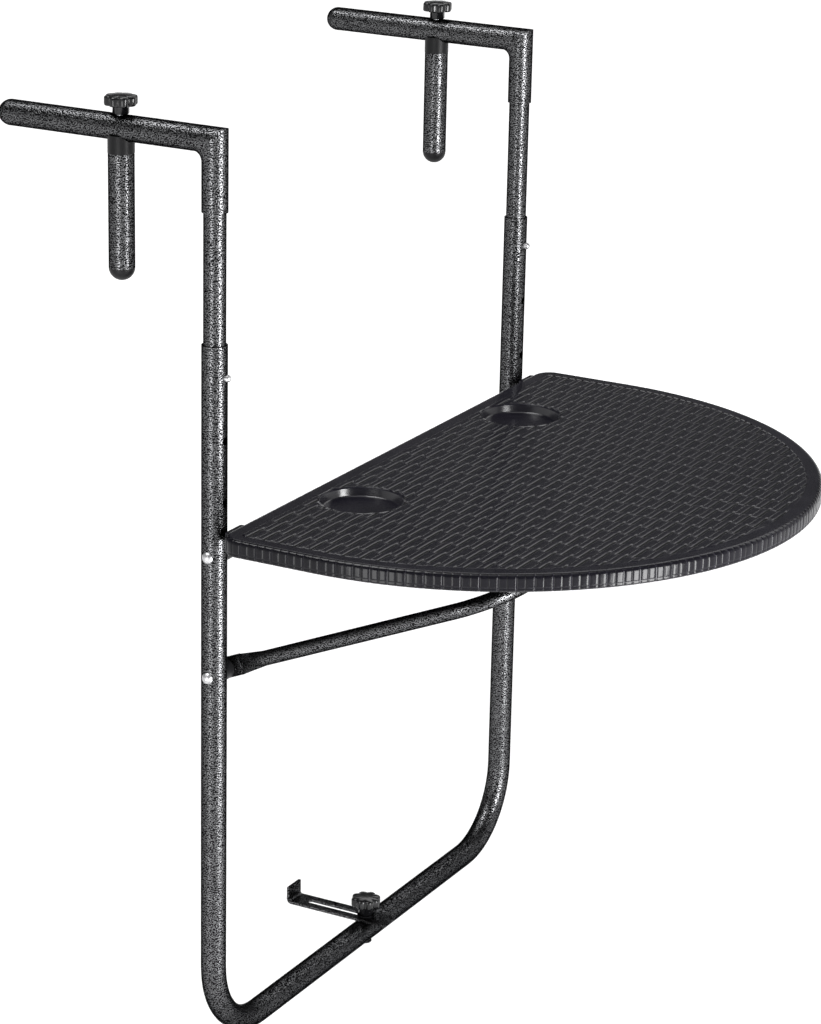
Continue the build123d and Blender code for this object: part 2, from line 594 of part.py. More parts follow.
def all_parts():
    """Every sub-part by its node name."""
    parts = {
        "u_frame": u_frame(),
        "table_hinge_rivets": both_sides(rivet, HINGE_Z),
        "brace_pivot_rivets": both_sides(rivet, PIVOT_Z),
        "table_hinge_spacers": both_sides(spacer, HINGE_Z),
        "brace_pivot_spacers": both_sides(spacer, PIVOT_Z),
        "bracket_bolt": bracket_bolt(),
        "table_top": table_top(),
        "hinge_plate_screws": screws(screw_places(-1) + screw_places(1), UNDER_Z - PLATE_THICK),
        "catch_screws": screws(catch_screw_places(), UNDER_Z - BAR_SEAT_GAP),
        "brace_tube": brace(),
        "standoff_bracket": standoff_bracket(),
        "bracket_washer": bracket_washer(),
        "bracket_knob": bracket_knob(),
        "bracket_knob_insert": knob_insert(),
    }
    for name, side in SIDES.items():
        arm, socket = hook_halves(side)
        parts[f"{name}_hook_arm"] = arm
        parts[f"{name}_hook_socket"] = socket
        parts[f"{name}_arm_end_cap"] = arm_end_cap(side)
        parts[f"{name}_extension_tube"] = extension_tube(side)
        parts[f"{name}_snap_clip"] = snap_clip(side)
        parts[f"{name}_peg_tube"] = peg_tube(side)
        parts[f"{name}_peg_saddle"] = peg_saddle(side)
        parts[f"{name}_peg_nut"] = peg_nut(side)
        parts[f"{name}_peg_end_cap"] = peg_end_cap(side)
        parts[f"{name}_clamp_knob"] = clamp_knob(side)
        parts[f"{name}_clamp_stud"] = clamp_stud(side)
        parts[f"{name}_hinge_plate"] = hinge_plate(side)
        parts[f"{name}_bar_catch"] = bar_catch(side)
    return parts


os.makedirs("parts", exist_ok=True)
for node, shape in all_parts().items():
    export_step(shape, f"parts/{node}.step")
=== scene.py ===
import math

import bmesh
import bpy
from mathutils import Matrix, Vector


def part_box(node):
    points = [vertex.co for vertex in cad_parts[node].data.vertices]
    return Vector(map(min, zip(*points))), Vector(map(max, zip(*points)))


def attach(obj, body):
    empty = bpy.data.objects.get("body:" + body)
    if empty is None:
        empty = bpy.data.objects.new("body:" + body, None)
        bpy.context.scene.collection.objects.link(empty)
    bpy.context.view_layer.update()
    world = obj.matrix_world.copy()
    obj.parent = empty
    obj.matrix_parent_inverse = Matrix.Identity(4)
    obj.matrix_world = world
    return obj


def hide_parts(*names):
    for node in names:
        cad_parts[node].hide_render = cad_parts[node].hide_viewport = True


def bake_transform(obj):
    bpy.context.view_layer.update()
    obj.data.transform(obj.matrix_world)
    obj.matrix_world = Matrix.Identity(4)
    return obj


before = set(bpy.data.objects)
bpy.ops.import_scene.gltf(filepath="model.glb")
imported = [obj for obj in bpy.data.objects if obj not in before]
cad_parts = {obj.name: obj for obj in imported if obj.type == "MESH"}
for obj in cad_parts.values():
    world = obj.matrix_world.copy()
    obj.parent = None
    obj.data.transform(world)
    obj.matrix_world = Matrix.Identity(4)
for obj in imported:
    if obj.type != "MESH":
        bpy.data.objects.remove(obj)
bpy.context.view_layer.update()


# Hooks, telescoping tubes, bent frame, peg tubes, brace, bracket and hinge plates: steel with a
# baked hammer finish, a black lacquer whose silver flakes draw into fine ripples with dark
# between them. Tubes are bent, mitred and welded before the coat, so it runs over every joint.
class Socket:
    """A shader socket: sums on it add Math nodes, and node() adds any other node."""

    def __init__(self, tree, socket=None):
        self.tree = tree
        self.socket = socket

    def node(self, kind, settings, sockets, out=0):
        made = self.tree.nodes.new("ShaderNode" + kind)
        for name, value in settings.items():
            setattr(made, name, value)
        for name, value in sockets.items():
            self.feed(made, name, value)
        return Socket(self.tree, made.outputs[out])

    def feed(self, made, name, value):
        if isinstance(value, Socket):
            self.tree.links.new(value.socket, made.inputs[name])
        else:
            made.inputs[name].default_value = value

    def sum(self, operation, first, second):
        return self.node("Math", {"operation": operation}, {0: first, 1: second})

    def __add__(self, other):
        return self.sum("ADD", self, other)

    def __radd__(self, other):
        return self.sum("ADD", other, self)

    def __sub__(self, other):
        return self.sum("SUBTRACT", self, other)

    def __rsub__(self, other):
        return self.sum("SUBTRACT", other, self)

    def __mul__(self, other):
        return self.sum("MULTIPLY", self, other)

    def __rmul__(self, other):
        return self.sum("MULTIPLY", other, self)

    def between(self, low, high):
        """0 below low, 1 above high, and a smooth rise from one to the other."""
        settings = {"interpolation_type": "SMOOTHSTEP"}
        return self.node("MapRange", settings, {"Value": self, "From Min": low, "From Max": high})

    def blend(self, colour_a, colour_b):
        """A colour that goes from a to b as this value goes from 0 to 1."""
        return self.node("Mix", {"data_type": "RGBA"}, {"Factor": self, 6: colour_a, 7: colour_b}, 2)


class Finish:
    """A material: its shader, and the point on the piece that its patterns start from."""

    def __init__(self, name, **fixed):
        self.material = bpy.data.materials.new(name)
        self.material.use_nodes = True
        tree = self.material.node_tree
        self.shader = tree.nodes["Principled BSDF"]
        self.start = Socket(tree)
        self.place = self.start.node("TexCoord", {}, {}, "Object")
        for key, value in fixed.items():
            title = key.replace("_", " ").title().replace("Ior", "IOR")
            self.shader.inputs[title].default_value = value

    def noise(self, scale, detail=2.0):
        return self.start.node("TexNoise", {}, {"Vector": self.place, "Scale": scale, "Detail": detail})

    def set(self, name, value):
        self.start.feed(self.shader, name, value)

    def bump(self, height, depth, strength=1.0):
        raised = self.start.node("Bump", {}, {"Strength": strength, "Distance": depth, "Height": height})
        self.set("Normal", raised)

    def coat(self, *names):
        """Gives the finish to CAD nodes, through their objects' material slots."""
        for name in names:
            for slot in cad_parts[name].material_slots:
                slot.material = self.material


RIPPLE_SCALE = 470.0
RIPPLE_RATE = 1.15
FLAKE_RISE = 0.0001
BLACK_LACQUER = (0.004, 0.004, 0.0045, 1)
SILVER_FLAKE = (0.135, 0.136, 0.14, 1)
hammer = Finish("hammer_lacquer", metallic=1.0, specular_tint=(0.03, 0.03, 0.03, 1))
squiggle = {"Vector": hammer.place, "Scale": RIPPLE_SCALE, "Frequency": RIPPLE_RATE, "Anisotropy": 0.0}
ripple = hammer.start.node("TexGabor", {"gabor_type": "3D"}, squiggle)
flake = ripple.between(0.4, 0.6)
patch = hammer.noise(scale=210).between(0.3, 0.7)
shine = flake * (0.8 + 0.2 * patch)
hammer.set("Base Color", shine.blend(BLACK_LACQUER, SILVER_FLAKE))
hammer.set("Roughness", 0.32 - 0.06 * flake)
hammer.bump(flake, depth=FLAKE_RISE)
hammer.coat("u_frame", "brace_tube", "standoff_bracket")
for side in ("left", "right"):
    hammer.coat(f"{side}_hook_arm", f"{side}_hook_socket", f"{side}_extension_tube", f"{side}_peg_tube",
                f"{side}_arm_end_cap", f"{side}_hinge_plate")


# Saddles and end plugs of the pegs, pivot spacers and the catches under the top: black
# moulded plastic, satin, with the fine even grain of an eroded mould. They are pressed
# in place, and the catches are screwed on.
SATIN_DARK = (0.0045, 0.0045, 0.005, 1)
SATIN_LIGHT = (0.0075, 0.0075, 0.0082, 1)
satin = Finish("satin_black_plastic", specular_ior_level=0.16)
grain = satin.noise(scale=2600, detail=3.0)
cloud = satin.noise(scale=45)
satin.set("Base Color", cloud.between(0.3, 0.7).blend(SATIN_DARK, SATIN_LIGHT))
satin.set("Roughness", 0.34 + 0.12 * grain + 0.06 * cloud)
satin.bump(grain, depth=0.00006, strength=0.5)
satin.coat("table_hinge_spacers", "brace_pivot_spacers")
for side in ("left", "right"):
    satin.coat(f"{side}_peg_saddle", f"{side}_peg_end_cap", f"{side}_bar_catch")


# Clamp studs, peg nuts, the bracket knob's insert and the screws: zinc-plated steel, a cool
# grey with faint mottling from the bath. They are bought-in hardware, screwed or pressed in.
ZINC_DARK = (0.17, 0.175, 0.182, 1)
ZINC_LIGHT = (0.27, 0.275, 0.28, 1)
zinc = Finish("zinc_plate", metallic=1.0)
mottle = zinc.noise(scale=420, detail=4.0)
zinc.set("Base Color", mottle.between(0.3, 0.75).blend(ZINC_DARK, ZINC_LIGHT))
zinc.set("Roughness", 0.24 + 0.2 * mottle)
zinc.bump(zinc.noise(scale=1800), depth=0.00003, strength=0.4)
zinc.coat("bracket_knob_insert", "hinge_plate_screws", "catch_screws")
for side in ("left", "right"):
    zinc.coat(f"{side}_clamp_stud", f"{side}_peg_nut")


# Bolt and washer of the lower bracket: steel with black zinc plate, dark and even, so that
# they hide under the knob. The bolt's low round head lies against the underside of the bar.
BLACK_ZINC_DARK = (0.012, 0.012, 0.013, 1)
BLACK_ZINC_LIGHT = (0.028, 0.028, 0.03, 1)
black_zinc = Finish("black_zinc_plate", metallic=1.0, specular_tint=(0.2, 0.2, 0.2, 1))
stain = black_zinc.noise(scale=500, detail=4.0)
black_zinc.set("Base Color", stain.between(0.3, 0.75).blend(BLACK_ZINC_DARK, BLACK_ZINC_LIGHT))
black_zinc.set("Roughness", 0.3 + 0.2 * stain)
black_zinc.bump(stain, depth=0.00003, strength=0.4)
black_zinc.coat("bracket_bolt", "bracket_washer")


# Rivets: bright nickelled steel, upset cold over the uprights. Their domed heads are plain,
# with a few soft scuffs from the tool.
BRIGHT_DARK = (0.4, 0.4, 0.41, 1)
BRIGHT_LIGHT = (0.6, 0.6, 0.61, 1)
bright = Finish("bright_steel", metallic=1.0)
scuff = bright.noise(scale=900, detail=5.0)
bright.set("Base Color", scuff.between(0.25, 0.7).blend(BRIGHT_DARK, BRIGHT_LIGHT))
bright.set("Roughness", 0.36 + 0.16 * scuff)
bright.bump(scuff, depth=0.00002, strength=0.3)
bright.coat("table_hinge_rivets", "brace_pivot_rivets")


# Snap buttons: a V of spring steel leaf with a round button riveted through its front leg,
# bright like the rivets. As the button is pressed in, the front leg closes on the back one,
# which stays where it is against the wall of the inner tube.
SHARP = math.radians(35)
SAME_POINT = 0.000001


def solid(name, shape, finish, body=None):
    """Makes a piece from a bmesh, gives it its finish and lets it ride on a body, if one is named."""
    bmesh.ops.recalc_face_normals(shape, faces=shape.faces[:])
    mesh = bpy.data.meshes.new(name)
    shape.to_mesh(mesh)
    shape.free()
    mesh.polygons.foreach_set("use_smooth", [True] * len(mesh.polygons))
    mesh.materials.append(finish.material)
    piece = bpy.data.objects.new(name, mesh)
    bpy.context.scene.collection.objects.link(piece)
    if body:
        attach(piece, body)
    return piece


for side in ("left", "right"):
    node = f"{side}_snap_clip"
    leaf = bmesh.new()
    leaf.from_mesh(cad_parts[node].data)
    leaf.transform(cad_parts[node].matrix_world)
    bmesh.ops.remove_doubles(leaf, verts=leaf.verts[:], dist=SAME_POINT)
    for edge in leaf.edges:
        edge.smooth = edge.calc_face_angle(0) < SHARP
    clip = solid(f"{side}_snap_spring", leaf, bright)
    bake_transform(clip)
    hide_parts(node)


# Hand knobs: glossy charcoal plastic, moulded in one with a round neck and an eight-lobed
# head whose rims are rounded for the hand. Two clamp the pegs and one the lower bracket.
KNOB_RADIUS = 0.014
KNOB_LOBES = 8
LOBE_DEPTH = 0.0023
HEAD_HEIGHT = 0.009
CROWN_RISE = 0.0009
NECK_RADIUS = 0.007
NECK_CHAMFER = 0.0006
NECK_FLARE = 0.0008
FLARE_SCALLOP = 0.1
RIM_ROUND = 0.0016
RIM_TURNS = (0, 30, 60, 90)
CROWN_SHARES = (0.7, 0.45, 0.2)
STEPS_PER_LOBE = 14
KNOB_DARK = (0.0035, 0.0035, 0.004, 1)
KNOB_LIGHT = (0.006, 0.006, 0.0066, 1)
gloss = Finish("knob_plastic", specular_ior_level=0.36)
haze = gloss.noise(scale=300, detail=3.0)
gloss.set("Base Color", haze.between(0.3, 0.7).blend(KNOB_DARK, KNOB_LIGHT))
gloss.set("Roughness", 0.12 + 0.08 * haze)
gloss.bump(gloss.noise(scale=1500), depth=0.00003, strength=0.3)


def hand_knob(node, body):
    """One knob, drawn up loop by loop from the foot of its neck to the middle of its crown."""
    low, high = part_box(node)
    centre = (low + high) / 2
    neck = high.z - low.z - HEAD_HEIGHT
    brow = neck + HEAD_HEIGHT - CROWN_RISE
    loops = [(NECK_RADIUS - NECK_CHAMFER, 0, 0), (NECK_RADIUS, NECK_CHAMFER, 0),
             (NECK_RADIUS, neck - NECK_FLARE, 0), (NECK_RADIUS + NECK_FLARE, neck, FLARE_SCALLOP)]
    for turn in RIM_TURNS:
        inward = RIM_ROUND * (1 - math.sin(math.radians(turn)))
        rise = RIM_ROUND * (1 - math.cos(math.radians(turn)))
        loops.append((KNOB_RADIUS - inward, neck + rise, 1))
    for turn in RIM_TURNS:
        inward = RIM_ROUND * (1 - math.cos(math.radians(turn)))
        drop = RIM_ROUND * (1 - math.sin(math.radians(turn)))
        loops.append((KNOB_RADIUS - inward, brow - drop, 1))
    for share in CROWN_SHARES:
        loops.append((KNOB_RADIUS * share, brow + CROWN_RISE * (1 - share ** 2), share ** 2))
    shape = bmesh.new()
    steps = STEPS_PER_LOBE * KNOB_LOBES
    rim = bmesh.ops.create_circle(shape, cap_ends=True, segments=steps, radius=1)["verts"]
    edges = shape.edges[:]
    for index, (radius, height, scallop) in enumerate(loops):
        if index:
            grown = bmesh.ops.extrude_edge_only(shape, edges=edges)["geom"]
            rim = [item for item in grown if isinstance(item, bmesh.types.BMVert)]
            edges = [item for item in grown if isinstance(item, bmesh.types.BMEdge)]
        for vert in rim:
            angle = math.atan2(vert.co.y, vert.co.x)
            valley = 1 - abs(math.cos(angle * KNOB_LOBES / 2))
            reach = radius - LOBE_DEPTH * scallop * valley
            vert.co = (reach * math.cos(angle), reach * math.sin(angle), height)
    bmesh.ops.contextual_create(shape, geom=edges)
    bmesh.ops.translate(shape, verts=shape.verts[:], vec=(centre.x, centre.y, low.z))
    piece = solid(node + "_moulding", shape, gloss, body)
    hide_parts(node)


hand_knob("left_clamp_knob", "left_knob")
hand_knob("right_clamp_knob", "right_knob")
hand_knob("bracket_knob", "bracket_knob")


# Table top: one injection moulding in anthracite plastic, half round, with a plain border
# round a sunk field and a ribbed underside. It hangs on the two hinge plates.
ANTHRACITE_DARK = (0.0087, 0.0081, 0.0122, 1)
ANTHRACITE_LIGHT = (0.0117, 0.0109, 0.0162, 1)
TOP_Z = -0.314
REAR_X = 0.031
CURVE_X = 0.121
CURVE_RADIUS = 0.3
CORNER = 0.018


def anthracite(name, rough, **fixed):
    """The top's plastic: satin, faintly blue, with a fine mould grain and cloudy sheen."""
    made = Finish(name, **fixed)
    speck = made.noise(scale=2200, detail=3.0)
    cloud = made.noise(scale=30)
    made.set("Base Color", cloud.between(0.3, 0.7).blend(ANTHRACITE_DARK, ANTHRACITE_LIGHT))
    made.set("Roughness", rough + 0.1 * speck + 0.05 * cloud)
    made.bump(speck, depth=0.00002, strength=0.3)
    return made


top_plastic = anthracite("anthracite_plastic", rough=0.12, specular_ior_level=0.18)
top_plastic.coat("table_top")


# Woven field of the top: flat strands moulded to look like rattan. Rows of strands run
# along the railing and float over and dip by turns, half a step off their neighbours, so a
# slit opens beside each float where the next strand dips under it. The slits and the pits at
# the float ends are darkened in the colour: painted shade.
ROWS = 48
FLOAT_PERIOD = 0.050
FLOAT_HALF = 0.0130
FLOAT_SLOPE = 0.0030
FIELD_INSET = 0.01415
FIELD_FLOOR = TOP_Z - 0.0008
RELIEF = 0.0011
DIP_LEVEL = 0.74
SEAM_LEVEL = 0.62
SLIT_LEVEL = 0.3
PIT_LEVEL = 0.05
PIT_REACH = 0.0045
PIT_CUT = 0.4
SEAM_SHADE = 0.15
ROW_SHARES = ((0.0, 0.0), (0.035, 1.0), (0.06, 1.0), (0.54, 1.0), (0.67, 0.8), (0.74, 0.12), (0.87, 0.0))
COLUMNS = 280
CUPS = ((0.083, -0.15), (0.083, 0.15))
CUP_HOLE = 0.0368
CUP_SNAP = 0.004
TIP_HALF = 0.0005
STRAND_WELD = 0.00002
SKIRT = 0.0003
# Colour of the painted shade in the slits and pits between the strands.
STRAND_COLOUR = (0.0086, 0.008, 0.0122, 1)
SLIT_SHADE_COLOUR = (0.001, 0.001, 0.0013, 1)
FIBRE_STRETCH = (6.0, 0.35, 1.0)
FIBRE_SCALE = 420.0


def field_half_width(x):
    """Half the width of the sunk field at a distance from the railing."""
    rear = REAR_X + FIELD_INSET
    corner = CORNER - FIELD_INSET
    half = CURVE_RADIUS - FIELD_INSET
    if x < rear + corner:
        return half - corner + math.sqrt(max(corner ** 2 - (rear + corner - x) ** 2, 0))
    if x < CURVE_X:
        return half
    return math.sqrt(max(half ** 2 - (x - CURVE_X) ** 2, TIP_HALF ** 2))


def past_float_end(row, y):
    """Distance along a strand past the nearer end of its float, and on which side that end lies."""
    phase = (y / FLOAT_PERIOD + 0.5 * (row % 2)) % 1 - 0.5
    return abs(phase) * FLOAT_PERIOD - FLOAT_HALF, phase > 0


def floating(row, y):
    """1 where a strand floats on top and 0 where it has dipped under."""
    share = min(max(0.5 - past_float_end(row, y)[0] / FLOAT_SLOPE, 0), 1)
    return share * share * (3 - 2 * share)


def strand(row, share, crown, y):
    """Height of the weave over the field's floor at a point of a row, and how much painted shade its slit
    gets there.
    """
    before = row if share > 0.5 else row - 1
    slit = floating(before, y) * (1 - floating(before + 1, y))
    past, far_end = past_float_end(before, y)
    pit = max(1 - abs(past) / PIT_REACH, 0) if far_end else 0
    groove = SEAM_LEVEL + (SLIT_LEVEL - SEAM_LEVEL) * slit
    groove += (PIT_LEVEL - groove) * pit
    level = DIP_LEVEL + (1 - DIP_LEVEL) * floating(row, y)
    rise = crown * (1 - PIT_CUT * pit * (1 - crown))
    shade = max(SEAM_SHADE + (1 - SEAM_SHADE) * slit, pit)
    return RELIEF * (groove + (level - groove) * rise), (1 - rise) * shade


field_rear = REAR_X + FIELD_INSET
row_pitch = (CURVE_X + CURVE_RADIUS - FIELD_INSET - field_rear) / ROWS
line_count = ROWS * len(ROW_SHARES)
weave = bmesh.new()
# A vertex attribute for painted shade: how dark each point is painted, most in the slits and pits.
slit_shade_mark = weave.verts.layers.float.new("painted_shade")
bmesh.ops.create_grid(weave, x_segments=line_count, y_segments=COLUMNS, size=1)
for vert in weave.verts:
    row, step = divmod(round((vert.co.x + 1) / 2 * line_count), len(ROW_SHARES))
    share, crown = ROW_SHARES[step]
    x = field_rear + (row + share) * row_pitch
    y = vert.co.y * field_half_width(x)
    height, vert[slit_shade_mark] = strand(row, share, crown, y)
    vert.co = (x, y, FIELD_FLOOR + height)
for cup in CUPS:
    middle = Vector(cup)
    inside = [face for face in weave.faces if (face.calc_center_median().xy - middle).length < CUP_HOLE]
    bmesh.ops.delete(weave, geom=inside, context="FACES")
    for vert in weave.verts:
        away = vert.co.xy - middle
        if vert.is_boundary and away.length < CUP_HOLE + CUP_SNAP:
            vert.co.xy = middle + away.normalized() * CUP_HOLE
bmesh.ops.remove_doubles(weave, verts=weave.verts[:], dist=STRAND_WELD)
skirt = bmesh.ops.extrude_edge_only(weave, edges=[edge for edge in weave.edges if edge.is_boundary])
for item in skirt["geom"]:
    if isinstance(item, bmesh.types.BMVert):
        item.co.z = FIELD_FLOOR - SKIRT
weave_plastic = Finish("woven_anthracite_plastic", specular_ior_level=0.3)
painted_shade = weave_plastic.start.node("Attribute", {"attribute_name": "painted_shade"}, {}, "Fac")
stretch = {0: weave_plastic.place, 1: FIBRE_STRETCH}
thread = weave_plastic.start.node("VectorMath", {"operation": "MULTIPLY"}, stretch)
fibre = weave_plastic.start.node("TexNoise", {}, {"Vector": thread, "Scale": FIBRE_SCALE, "Detail": 2.0})
# Painted shade: the strands' colour darkens where the vertex attribute marks slits and pits, standing in
# for the shade that falls in them.
weave_plastic.set("Base Color", painted_shade.between(0.2, 0.7).blend(STRAND_COLOUR, SLIT_SHADE_COLOUR))
weave_plastic.set("Roughness", 0.14 + 0.06 * fibre + 0.6 * painted_shade.between(0.25, 0.8))
weave_plastic.bump(fibre, depth=0.00003, strength=0.3)
solid("table_weave", weave, weave_plastic, "table")


# Edge of the top: moulded as flat strands wound round the rim, in pairs with a deeper
# groove between pairs, and one bead line that runs all round near the lower rim. The grooves
# are darkened in the colour: painted shade.
STRAND_PAIR = 0.015
PROUD = 0.00045
EDGE_TOP = 0.004
EDGE_UNDER = 0.002
THICK = 0.015
PAIR_STEPS = (0.0, 0.035, 0.08, 0.2, 0.36, 0.47, 0.5, 0.53, 0.64, 0.8, 0.92, 0.965)
TOP_TURNS = (15, 35, 55, 75, 90)
UNDER_TURNS = (20, 50, 75)
TUCK = -0.4
TUCK_INSET = 0.0052
TUCK_SINK = 0.0002
FOOT_INSET = 0.003
FOOT_RISE = 0.0003
BEAD_STEPS = ((0.0085, 1), (0.0048, 1), (0.0038, 0.9), (0.0032, -0.2), (0.0026, 0.8))
UNDER_PROUD = 0.8
DEEP_REACH = 0.06
DEEP_CUT = 2.2
FINE_REACH = 0.035
FINE_CUT = 0.7
SHOULDER = 0.7
SWELL = 0.3
SWELL_BLUNT = 0.35
BAND_WELD = 0.000005
BAND_COLOUR = (0.0055, 0.0052, 0.0074, 1)
GROOVE_SHADE_COLOUR = (0.001, 0.001, 0.0012, 1)
HALF_REAR = CURVE_RADIUS - CORNER
BEND = CORNER * math.pi / 2
STRAIGHT = CURVE_X - REAR_X - CORNER
RIM_LENGTH = 2 * (HALF_REAR + BEND + STRAIGHT) + CURVE_RADIUS * math.pi


def rim_place(run):
    """Point and outward direction on the top's outline, at a distance along it."""
    mirror = 1
    if run > RIM_LENGTH / 2:
        run = RIM_LENGTH - run
        mirror = -1
    if run < HALF_REAR:
        place = Vector((REAR_X, -run, 0))
        outward = Vector((-1, 0, 0))
    elif run < HALF_REAR + BEND:
        turn = math.pi + (run - HALF_REAR) / CORNER
        outward = Vector((math.cos(turn), math.sin(turn), 0))
        place = Vector((REAR_X + CORNER, -HALF_REAR, 0)) + CORNER * outward
    elif run < HALF_REAR + BEND + STRAIGHT:
        outward = Vector((0, -1, 0))
        place = Vector((REAR_X + CORNER + run - HALF_REAR - BEND, -CURVE_RADIUS, 0))
    else:
        turn = (run - HALF_REAR - BEND - STRAIGHT) / CURVE_RADIUS - math.pi / 2
        outward = Vector((math.cos(turn), math.sin(turn), 0))
        place = Vector((CURVE_X, 0, 0)) + CURVE_RADIUS * outward
    for vector in (place, outward):
        vector.y *= mirror
    return place, outward


def rim_profile():
    """Steps round the rim from top to underside: inset, height, and how proud the strands stand."""
    steps = [(TUCK_INSET, TOP_Z - TUCK_SINK, TUCK)]
    for turn in TOP_TURNS:
        angle = math.radians(turn)
        drop = EDGE_TOP * (1 - math.cos(angle))
        steps.append((EDGE_TOP * (1 - math.sin(angle)), TOP_Z - drop, turn / 90))
    low = TOP_Z - THICK
    for height, proud in BEAD_STEPS:
        steps.append((0, low + height, proud))
    for turn in UNDER_TURNS:
        angle = math.radians(turn)
        rise = EDGE_UNDER * (1 - math.sin(angle))
        steps.append((EDGE_UNDER * (1 - math.cos(angle)), low + rise, UNDER_PROUD))
    steps.append((FOOT_INSET, low + FOOT_RISE, TUCK))
    return steps


profile = rim_profile()
pairs = round(RIM_LENGTH / STRAND_PAIR)
steps_round = pairs * len(PAIR_STEPS)
band = bmesh.new()
# A vertex attribute for painted shade, highest in the deep grooves between pairs and lower in the fine
# ones.
groove_shade_mark = band.verts.layers.float.new("painted_shade")
bmesh.ops.create_grid(band, x_segments=steps_round, y_segments=len(profile) - 1, size=1)
for vert in band.verts:
    column = round((vert.co.x + 1) / 2 * steps_round)
    level = round((vert.co.y + 1) / 2 * (len(profile) - 1))
    pair, step = divmod(column % steps_round, len(PAIR_STEPS))
    share = PAIR_STEPS[step]
    place, outward = rim_place((pair + share) / pairs * RIM_LENGTH)
    inset, height, proud = profile[level]
    deep = 1 - min(min(share, 1 - share) / DEEP_REACH, 1) ** 0.5
    fine = 1 - min(abs(share - 0.5) / FINE_REACH, 1) ** 0.5
    crown = SHOULDER + SWELL * math.sin(math.pi * share) ** SWELL_BLUNT
    vert[groove_shade_mark] = max(deep, FINE_CUT * fine) if proud > 0 else 0
    lift = PROUD * proud
    if proud > 0:
        lift *= crown - DEEP_CUT * deep - FINE_CUT * fine
    lean = min(max((EDGE_TOP - (TOP_Z - height)) / EDGE_TOP, 0), 1)
    vert.co = place - outward * (inset - lift * (1 - lean ** 2)) + Vector((0, 0, height + lift * lean))
bmesh.ops.remove_doubles(band, verts=band.verts[:], dist=BAND_WELD)
band_plastic = Finish("wound_anthracite_plastic", specular_ior_level=0.2)
groove_shade = band_plastic.start.node("Attribute", {"attribute_name": "painted_shade"}, {}, "Fac")
speckle = band_plastic.noise(scale=1800, detail=3.0)
# Painted shade: the band darkens in the grooves that the vertex attribute marks, standing in for the
# shade that falls there.
band_plastic.set("Base Color", groove_shade.between(0.1, 0.7).blend(BAND_COLOUR, GROOVE_SHADE_COLOUR))
band_plastic.set("Roughness", 0.14 + 0.08 * speckle + 0.4 * groove_shade)
band_plastic.bump(speckle, depth=0.00004, strength=0.4)
solid("edge_wrap", band, band_plastic, "table")


# Cup recesses: each well has a rounded lip, a smooth wall that draws in a little and a
# rounded foot, all moulded with the top. The floor keeps the mould's plain grain.
CUP_DEPTH = 0.007
CUP_STEPS = 96
LIP = ((0.0372, -0.0002), (0.0370, 0.0003), (0.0366, 0.0006), (0.0362, 0.0006), (0.03585, 0.0003),
       (0.0356, -0.0002))
FOOT = ((0.0343, 0.001), (0.0340, 0.0004), (0.0336, 0.0001), (0.0326, 0.00004))
well_profile = [(radius, FIELD_FLOOR + rise) for radius, rise in LIP]
well_profile += [(radius, FIELD_FLOOR - CUP_DEPTH + rise) for radius, rise in FOOT]
wells = bmesh.new()
for cup in CUPS:
    ring = [wells.verts.new((cup[0] + radius, cup[1], height)) for radius, height in well_profile]
    lines = [wells.edges.new(pair) for pair in zip(ring, ring[1:])]
    bmesh.ops.spin(wells, geom=ring + lines, cent=(*cup, 0), axis=(0, 0, 1), angle=2 * math.pi,
                   steps=CUP_STEPS, use_merge=True)
for face in wells.faces:
    face.material_index = 1 if face.calc_center_median().z > FIELD_FLOOR else 0
well_plastic = anthracite("polished_anthracite_plastic", rough=0.15, specular_ior_level=0.8)
wells_piece = solid("cup_wells", wells, well_plastic, "table")
wells_piece.data.materials.append(top_plastic.material)


# Studio: a pale floor where a balcony's floor would lie, tall soft lamps left and right
# of the camera, a broad lamp overhead, and a dim sky with a soft panel high behind the object,
# lighter flanks and a light crest, which the tubes and strands mirror.
FLOOR_Z = -1.05
FLOOR_RADIUS = 30
FLOOR_COLOUR = (0.8, 0.8, 0.8, 1)
NEAR_GLOW = 0.25
FAR_GLOW = 0.52
GLOW_RISE = (0.9, 3.0)
HORIZON = (0.02, 0.22)
SKY_FALL = 0.93
FLANK_LIGHT = 0.55
FLANK_TURN = (0.1, 0.28)
FLANK_HEAD = (0.42, 0.55)
PANEL_LIGHT = 2.1
PANEL_TURN = (0.62, 0.74)
PANEL_FOOT = (0.45, 0.51)
PANEL_HEAD = (0.64, 0.72)
CREST_LIGHT = 1.5
CREST_FOOT = (0.9, 0.95)
ground = bmesh.new()
bmesh.ops.create_circle(ground, cap_ends=True, segments=64, radius=FLOOR_RADIUS)
bmesh.ops.translate(ground, verts=ground.verts[:], vec=(0, 0, FLOOR_Z))
ground_mesh = bpy.data.meshes.new("floor")
ground.to_mesh(ground_mesh)
ground.free()
floor = bpy.data.objects.new("floor", ground_mesh)
bpy.context.scene.collection.objects.link(floor)
pale = bpy.data.materials.new("pale_floor")
pale.use_nodes = True
tree = pale.node_tree
tree.nodes.remove(tree.nodes["Principled BSDF"])
start = Socket(tree)
seen = start.node("LightPath", {}, {}, "Is Camera Ray")
mirrored = start.node("LightPath", {}, {}, "Is Glossy Ray")
through = start.node("LightPath", {}, {}, "Is Transmission Ray")
shown = start.sum("MINIMUM", seen + mirrored + through, 1.0)
spot = start.node("TexCoord", {}, {}, "Object")
reach = start.node("VectorMath", {"operation": "LENGTH"}, {0: spot}, 1)
glow = shown * (NEAR_GLOW + FAR_GLOW * reach.between(*GLOW_RISE))
matt = start.node("BsdfDiffuse", {}, {"Color": FLOOR_COLOUR})
lit = start.node("Emission", {}, {"Color": (1, 1, 1, 1), "Strength": glow})
both = start.node("AddShader", {}, {0: matt, 1: lit})
tree.links.new(both.socket, tree.nodes["Material Output"].inputs["Surface"])
floor.data.materials.append(pale)

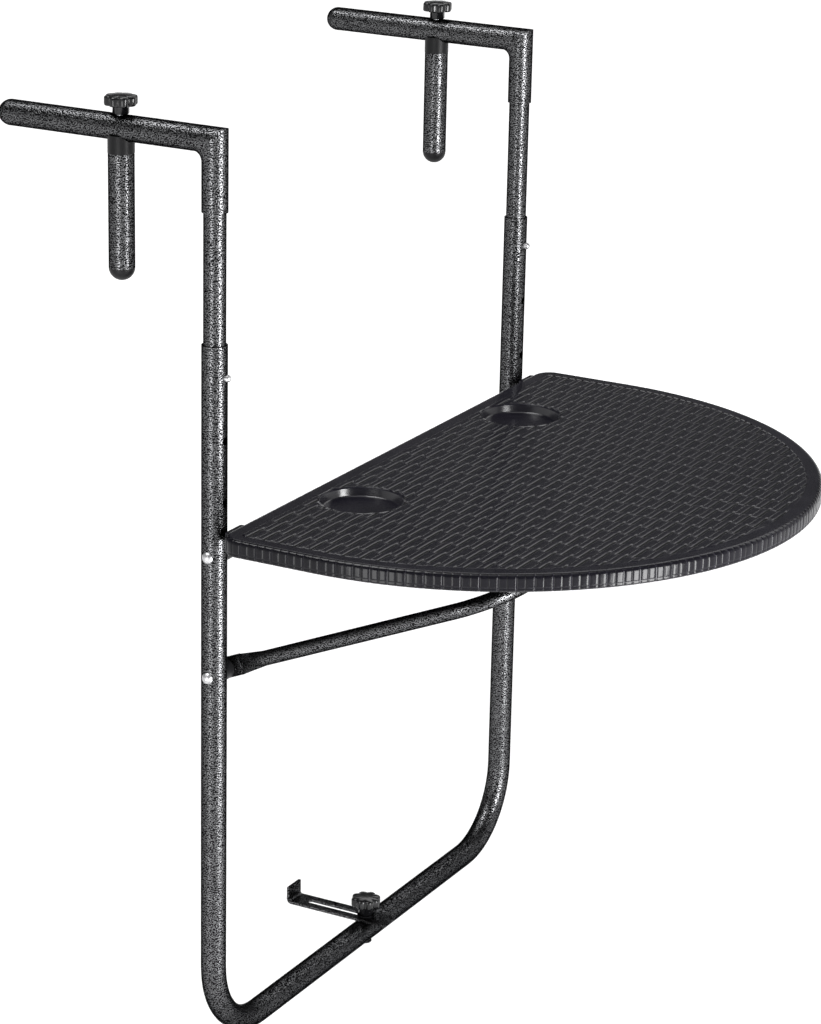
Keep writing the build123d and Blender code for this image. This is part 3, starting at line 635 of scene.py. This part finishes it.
world = bpy.data.worlds.new("studio")
bpy.context.scene.world = world
world.use_nodes = True
air = Socket(world.node_tree)
direction = air.node("TexCoord", {}, {}, "Generated")
height = air.node("SeparateXYZ", {}, {0: direction}, 2)
beyond = air.node("SeparateXYZ", {}, {0: direction}, 1)
across = air.node("SeparateXYZ", {}, {0: direction}, 0)
open_white = air.node("LightPath", {}, {}, "Is Camera Ray")
panel = beyond.between(*PANEL_TURN) * height.between(*PANEL_FOOT) * (1 - height.between(*PANEL_HEAD))
flank = (across * beyond).between(*FLANK_TURN) * (1 - height.between(*FLANK_HEAD))
crest = height.between(*CREST_FOOT)
sky = 1 - height.between(*HORIZON) * (SKY_FALL - FLANK_LIGHT * flank) + PANEL_LIGHT * panel
sky += CREST_LIGHT * crest
level = open_white + (1 - open_white) * sky
back = world.node_tree.nodes["Background"]
back.inputs["Color"].default_value = (1, 1, 1, 1)
air.feed(back, "Strength", level)


def lamp(name, place, aim, width, tall, watts):
    """A soft rectangular lamp that looks at a point."""
    light = bpy.data.lights.new(name, "AREA")
    light.shape = "RECTANGLE"
    light.size = width
    light.size_y = tall
    light.energy = watts
    holder = bpy.data.objects.new(name, light)
    holder.location = place
    holder.rotation_euler = (Vector(aim) - Vector(place)).to_track_quat("-Z", "Y").to_euler()
    holder.visible_camera = False
    bpy.context.scene.collection.objects.link(holder)


lamp("right_strip", place=(1.4, -0.33, -0.45), aim=(0.05, 0, -0.42), width=0.42, tall=1.15, watts=38)
lamp("left_strip", place=(0.05, -1.5, -0.5), aim=(0.05, 0, -0.45), width=0.45, tall=1.0, watts=9)
lamp("overhead", place=(-0.75, -0.6, 2.1), aim=(0.1, -0.1, -0.3), width=1.5, tall=1.2, watts=48)

# Camera: a long lens at the photograph's angle, rolled by a degree as the photograph is.
CAMERA_PLACE = (1.3987, -2.5070, 0.5695)
LENS = 116.931
SENSOR_WIDTH = 36
azimuth = math.radians(28.28)
elevation = math.radians(18.316)
roll = math.radians(1.228)
level_reach = math.cos(elevation)
toward = Vector((-math.sin(azimuth) * level_reach, math.cos(azimuth) * level_reach, -math.sin(elevation)))
right = Vector((math.cos(azimuth), math.sin(azimuth), 0))
up = right.cross(toward)
turned_right = right * math.cos(roll) + up * math.sin(roll)
turned_up = up * math.cos(roll) - right * math.sin(roll)
view = bpy.data.cameras.new("camera")
view.lens = LENS
view.sensor_width = SENSOR_WIDTH
camera = bpy.data.objects.new("camera", view)
turned = Matrix((turned_right, turned_up, -toward)).transposed().to_4x4()
camera.matrix_world = Matrix.Translation(CAMERA_PLACE) @ turned
bpy.context.scene.collection.objects.link(camera)
bpy.context.scene.camera = camera
bpy.context.scene.view_settings.view_transform = "Standard"
